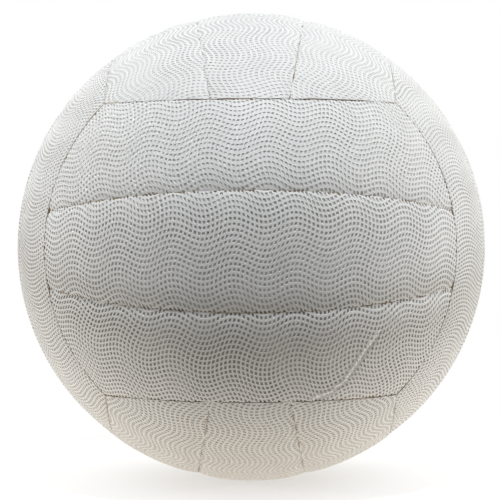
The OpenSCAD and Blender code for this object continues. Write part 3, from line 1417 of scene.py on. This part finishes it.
@dataclass
class Valve:
    """The rubber valve at the back, in millimetres: the housing and the core that pulls out."""

    lathe: Lathe = field(default_factory=Lathe)
    sharp_degrees: float = 40.0
    face_h: float = 104.6
    housing_end_h: float = 82.6
    neck_r: float = 4.6
    seat_r: float = 3.3
    seat_h: float = 103.0
    bore_r: float = 2.5
    lip_h: float = 84.1
    lip_r: float = 1.3
    lip_bevel: float = 0.4
    flange_edge_r: float = 17.6
    flange_out_r: float = 99.4
    flange_in_r: float = 98.2
    flange_bevel: float = 0.4
    flange_half_t: float = 0.6
    dome_steps: int = 6
    head_r: float = 3.15
    head_h: float = 103.1
    stem_r: float = 2.35
    stem_end_h: float = 84.2
    stem_bevel: float = 0.7
    channel_r: float = 1.05
    channel_end_h: float = 88.2
    funnel_r: float = 1.65
    funnel_h: float = 104.0
    slit_half: float = 1.35
    slit_half_w: float = 0.15
    slit_inset: float = 0.1
    slit_steps: int = 6
    rib_rise: float = 0.1
    rib_half: float = 0.5
    rib_heights: tuple[float, ...] = (100.5, 97.0, 93.5)

    FILL_TOLERANCE = 1e-6

    def build(self) -> list[bpy.types.Object]:
        """Makes the two pieces, ties them to their bodies and hides their CAD nodes.

        Returns:
            The pieces.
        """
        made = []
        for name, node, body, finish, shape in (
            ("valve_body", "valve_housing", Body.BALL, HOUSING_RUBBER, self._housing),
            ("valve_plug", "valve_core", Body.CORE, CORE_RUBBER, self._core),
        ):
            bm = bmesh.new()
            shape(bm)
            bmesh.ops.recalc_face_normals(bm, faces=bm.faces)
            for face in bm.faces:
                face.smooth = True
            mesh = bpy.data.meshes.new(name)
            bm.to_mesh(mesh)
            bm.free()
            mesh.set_sharp_from_angle(angle=math.radians(self.sharp_degrees))
            mesh.materials.append(finish.material())
            piece = new_object(name, mesh)
            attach(piece, body.value)
            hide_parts(node)
            made.append(piece)
        return made

    def _dome(self, sphere_r: float, start_r: float, end_r: float) -> list[tuple[float, float, float]]:
        """Draws part of an outline along a sphere about the ball's centre.

        Args:
            sphere_r: Radius of the sphere.
            start_r: Distance off the valve's axis at which the line starts.
            end_r: Distance off the axis at which it ends.

        Returns:
            The line's corners, with no rounding.
        """
        steps, span = self.dome_steps, end_r - start_r
        radii = [start_r + span * step / steps for step in range(steps + 1)]
        return [(radius, math.sqrt(sphere_r**2 - radius**2), 0.0) for radius in radii]

    def _housing(self, bm: BMesh) -> None:
        """Turns the housing: lip, bore, seat, rounded face, neck, flange and tube.

        Args:
            bm: The mesh that it goes into.
        """
        flange_r = self.flange_edge_r - self.flange_bevel
        middle = math.sqrt((self.flange_out_r - self.flange_half_t) ** 2 - self.flange_edge_r**2)
        corners = [
            (self.lip_r, self.housing_end_h + self.lip_bevel, 0.0),
            (self.lip_r, self.lip_h, 0.2), (self.bore_r, self.lip_h, 0.0),
            (self.bore_r, self.seat_h, 0.2), (self.seat_r, self.seat_h, 0.0),
            (self.seat_r, self.face_h, 0.35), (self.neck_r, self.face_h, 0.6),
            *self._dome(self.flange_out_r, self.neck_r, flange_r),
            (self.flange_edge_r, middle, 0.0),
            *self._dome(self.flange_in_r, flange_r, self.neck_r),
            (self.neck_r, self.housing_end_h, 0.9),
            (self.lip_r + self.lip_bevel, self.housing_end_h, 0.0),
        ]
        self.lathe.turn(bm, self.lathe.outline(corners), True)

    def _core(self, bm: BMesh) -> None:
        """Turns the core: channel, funnel, head, ribbed stem and the slit through its end.

        Args:
            bm: The mesh that it goes into.
        """
        corners = [
            (self.channel_r, self.channel_end_h, 0.0), (self.channel_r, self.funnel_h, 0.2),
            (self.funnel_r, self.face_h, 0.25), (self.head_r, self.face_h, 0.5),
            (self.head_r, self.head_h, 0.25), (self.stem_r, self.head_h, 0.25),
        ]
        for height in self.rib_heights:
            corners += [
                (self.stem_r, height + self.rib_half, 0.15),
                (self.stem_r + self.rib_rise, height, 0.2),
                (self.stem_r, height - self.rib_half, 0.15),
            ]
        corners.append((self.stem_r, self.stem_end_h, 0.5))
        corners.append((self.stem_r - self.stem_bevel, self.stem_end_h, 0.0))
        rings = self.lathe.turn(bm, self.lathe.outline(corners), False)
        upper = self._slit(bm, rings[0], self.channel_end_h, self.channel_r - self.slit_inset)
        lower = self._slit(bm, rings[-1], self.stem_end_h, self.slit_half)
        for spot, after in ring_links(len(upper)):
            bm.faces.new((upper[spot], upper[after], lower[after], lower[spot]))

    def _slit(self, bm: BMesh, ring: Ring, height: float, half: float) -> Ring:
        """Fills a ring with a flat face that has a slit in it.

        Args:
            bm: The mesh.
            ring: The ring's corners.
            height: Height of the face.
            half: Half the length of the slit.

        Returns:
            The slit's corners in order.
        """
        wide, steps = self.slit_half_w, self.slit_steps
        long = [half * (2 * step / steps - 1) for step in range(steps + 1)]
        loop = [(one, -wide) for one in long] + [(one, wide) for one in reversed(long)]
        slit = [bm.verts.new((x * MM, height * MM, z * MM)) for x, z in loop]
        verts = ring + slit
        points = [Vector((vert.co.x, vert.co.z)) / MM for vert in verts]
        links = ring_links(len(ring)) + ring_links(len(slit), len(ring))
        for trio in triangles(verts, points, links, self.FILL_TOLERANCE):
            if not all(vert in slit for vert in trio):
                bm.faces.new(trio)
        return slit


@dataclass
class InnerLayers:
    """The layers under the cover, which keep their CAD shapes."""

    finishes: tuple[tuple[str, Finish], ...] = (
        ("cover_rubber", BROWN_RUBBER),
        ("winding", THREAD),
        ("bladder", BUTYL),
    )

    def dress(self) -> list[bpy.types.Object]:
        """Gives each layer its material.

        Returns:
            The layers.
        """
        layers = [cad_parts[node] for node, _ in self.finishes]
        for layer, (_, finish) in zip(layers, self.finishes):
            layer.data.materials.clear()
            layer.data.materials.append(finish.material())
        return layers


@dataclass
class Studio:
    """The floor, the light and the camera."""

    ball: BallShape
    floor_half: float = 4.0
    floor_colour: Colour = (0.2, 0.195, 0.185, 1.0)
    glow_colour: Colour = (1.0, 0.91, 0.78, 1.0)
    glow_span: tuple[float, float] = (-0.21, -0.09)
    table_glow: float = 0.68
    shadow_colour: Colour = (0.45, 0.45, 0.45, 1.0)
    painted_shadow_step: tuple[float, ...] = (0.0, 0.1, 0.42, 0.8)
    white_span: tuple[float, float] = (0.15, 0.3)
    sky_colour: Colour = (0.98, 0.99, 1.0, 1.0)
    sky_span: tuple[float, float] = (-0.2, 0.6)
    backdrop_level: float = 0.45
    front_level: float = 0.115
    camera_radii: float = 6.55
    elevation: float = 1.04
    azimuth: float = 0.345
    roll: float = 0.17
    lens: float = 108.9
    sensor_width: float = 36.0
    shift: tuple[float, float] = (-1.27 / 500, -3.19 / 500)
    key_elevation: float = 65.0
    key_azimuth: float = 8.0
    key_power: float = 11.3
    key_colour: tuple[float, float, float] = (0.955, 0.978, 1.0)
    side_elevation: float = 3.0
    side_azimuth: float = 95.0
    side_power: float = 5.2
    side_colour: tuple[float, float, float] = (1.0, 0.99, 0.965)
    light_size: float = 0.16
    light_distance: float = 1.2

    def build(self) -> None:
        """Sets up the studio."""
        self._floor()
        self._world()
        self._lights()
        self._camera()
        bpy.context.scene.view_settings.view_transform = "Standard"

    @staticmethod
    def _seen(board: NodeBoard) -> Socket:
        """Tells where the background is looked at, directly or in a reflection.

        Args:
            board: The board of the background's shader.

        Returns:
            1 where it is looked at, and 0 where it only gives light.
        """
        path = board.add("ShaderNodeLightPath").outputs
        sharp = board.math("MAXIMUM", path["Is Glossy Ray"], path["Is Transmission Ray"])
        return board.math("MAXIMUM", path["Is Camera Ray"], sharp)

    def _floor(self) -> None:
        """Lays the pale floor under the ball, which keeps a soft shadow and, where it is seen, a painted
        shadow near where the ball touches; under and behind the ball it glows to light it from below.
        """
        mesh = bpy.data.meshes.new("floor")
        half, low = self.floor_half, -self.ball.radius
        corners = [(-half, -half, low), (half, -half, low), (half, half, low), (-half, half, low)]
        mesh.from_pydata(corners, [], [(0, 1, 2, 3)])
        material = bpy.data.materials.new("pale_floor")
        board = NodeBoard.empty(material)
        place = board.add("ShaderNodeTexCoord").outputs["Object"]
        glow = board.product(board.ramp(board.split(place)["Y"], *self.glow_span), self.table_glow)
        glow = board.add("ShaderNodeEmission", {"Color": self.glow_colour, "Strength": glow})
        lit = board.add("ShaderNodeBsdfDiffuse", {"Color": self.floor_colour})
        lit = board.add("ShaderNodeAddShader", {0: lit, 1: glow})
        far = board.measure("LENGTH", board.vector("MULTIPLY", place, (1.0, 1.0, 0.0)))
        # Painted shadow: the floor's glow as seen is dimmer near the point where the ball touches.
        pale = board.add("ShaderNodeEmission", {"Strength": board.ramp(far, *self.painted_shadow_step)})
        shadow = board.add("ShaderNodeBsdfDiffuse", {"Color": self.shadow_colour})
        near = board.add("ShaderNodeAddShader", {0: pale, 1: shadow})
        white = board.add("ShaderNodeEmission", {"Strength": 1.0})
        away = board.ramp(far, *self.white_span)
        shown = board.add("ShaderNodeMixShader", {0: away, 1: near, 2: white})
        mixed = board.add("ShaderNodeMixShader", {0: self._seen(board), 1: lit, 2: shown})
        board.add("ShaderNodeOutputMaterial", {"Surface": mixed})
        mesh.materials.append(material)
        floor = new_object("floor", mesh)

    def _world(self) -> None:
        """Surrounds the ball with white that is brightest behind it."""
        world = bpy.data.worlds.new("white_studio")
        board = NodeBoard.empty(world)
        depth = board.split(board.add("ShaderNodeTexCoord").outputs["Generated"])["Y"]
        level = board.ramp(depth, *self.sky_span, self.front_level, self.backdrop_level)
        dim = board.add("ShaderNodeBackground", {"Color": self.sky_colour, "Strength": level})
        white = board.add("ShaderNodeBackground", {"Color": (1.0, 1.0, 1.0, 1.0)})
        mixed = board.add("ShaderNodeMixShader", {0: self._seen(board), 1: dim, 2: white})
        board.add("ShaderNodeOutputWorld", {"Surface": mixed})
        bpy.context.scene.world = world

    def _soft_light(
        self, name: str, power: float, colour: tuple[float, float, float], place: Vector
    ) -> None:
        """Hangs a round soft light that looks at the ball.

        Args:
            name: The light's name.
            power: Its power.
            colour: Its colour.
            place: The direction that it hangs in.
        """
        lamp = bpy.data.lights.new(name, "AREA")
        lamp.shape = "DISK"
        lamp.size = self.light_size
        lamp.energy = power
        lamp.color = colour
        light = new_object(name, lamp)
        light.location = place * self.light_distance
        light.rotation_euler = (-place).to_track_quat("-Z", "Y").to_euler()

    @staticmethod
    def _direction(azimuth: float, elevation: float) -> Vector:
        """Gives a direction from the ball, by degrees round from the front and up from the level."""
        turn, rise = math.radians(azimuth), math.radians(elevation)
        return Vector((math.sin(turn) * math.cos(rise), -math.cos(turn) * math.cos(rise), math.sin(rise)))

    def _lights(self) -> None:
        """Hangs a soft light above and in front, and one on each side."""
        key = self._direction(self.key_azimuth, self.key_elevation)
        self._soft_light("key", self.key_power, self.key_colour, key)
        for name, azimuth in (("left", -self.side_azimuth), ("right", self.side_azimuth)):
            place = self._direction(azimuth, self.side_elevation)
            self._soft_light(name, self.side_power, self.side_colour, place)

    def _camera(self) -> None:
        """Puts the camera where the photograph was taken from."""
        data = bpy.data.cameras.new("camera")
        data.lens = self.lens
        data.sensor_width = self.sensor_width
        data.shift_x, data.shift_y = self.shift
        camera = new_object("camera", data)
        back = self._direction(self.azimuth, self.elevation)
        camera.location = back * self.camera_radii * self.ball.radius
        camera.rotation_euler = (-back).to_track_quat("-Z", "Y").to_euler()
        camera.rotation_euler.rotate_axis("Z", -math.radians(self.roll))
        bpy.context.scene.camera = camera


def main() -> None:
    """Builds the studio and the ball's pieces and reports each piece."""
    logging.basicConfig(level=logging.INFO, format="%(message)s")
    ball = BallShape()
    Studio(ball).build()
    for build in (InnerLayers().dress, Cover(ball, GRAIN).build, SeamCement(ball).build, Valve().build):
        for piece in build():
            LOG.info("%s: %d faces", piece.name, len(piece.data.polygons))


if __name__ == "__main__":
    main()
